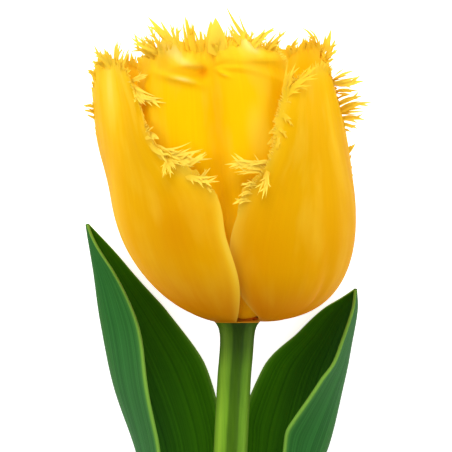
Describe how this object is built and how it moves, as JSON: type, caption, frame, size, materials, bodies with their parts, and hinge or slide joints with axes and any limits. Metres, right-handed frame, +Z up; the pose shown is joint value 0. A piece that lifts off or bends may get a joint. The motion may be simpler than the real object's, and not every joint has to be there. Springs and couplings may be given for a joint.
{
  "type": "fringed tulip",
  "caption": "Cut yellow tulip lying on its side: cup-shaped bloom of fringed tepals, round stem, channelled clasping leaves.",
  "frame": {"origin": "middle of the footprint at the height of the surface that the flower lies on", "axes": "+Z up from the surface, +Y along the stem towards the bloom's mouth, +X to the right when seen from above"},
  "size_m": [0.0745, 0.2996, 0.0648],
  "materials": {
    "tepal_outer": "satin petal, warm yellow, deeper orange towards the claw, fine lengthwise veins",
    "tepal_inner": "satin petal, bright golden yellow, paler at the fringe",
    "stem": "smooth fresh green stem with faint lengthwise streaks",
    "leaf": "waxy dark green leaf with parallel veins and a pale thin edge",
    "filament": "pale yellow, smooth",
    "anther": "dusty ochre pollen",
    "ovary": "pale green, smooth",
    "stigma": "cream, velvety"
  },
  "bodies": {
    "root": {"tepal_outer_left": "tepal_outer", "tepal_outer_right": "tepal_outer", "tepal_outer_back": "tepal_outer", "tepal_inner_front": "tepal_inner", "tepal_inner_back_left": "tepal_inner", "tepal_inner_back_right": "tepal_inner", "stem": "stem", "leaf_left": "leaf", "leaf_right": "leaf", "ovary": "ovary", "stigma": "stigma", "filament_1": "filament", "filament_2": "filament", "filament_3": "filament", "filament_4": "filament", "filament_5": "filament", "filament_6": "filament", "anther_1": "anther", "anther_2": "anther", "anther_3": "anther", "anther_4": "anther", "anther_5": "anther", "anther_6": "anther"}
  },
  "joints": []
}
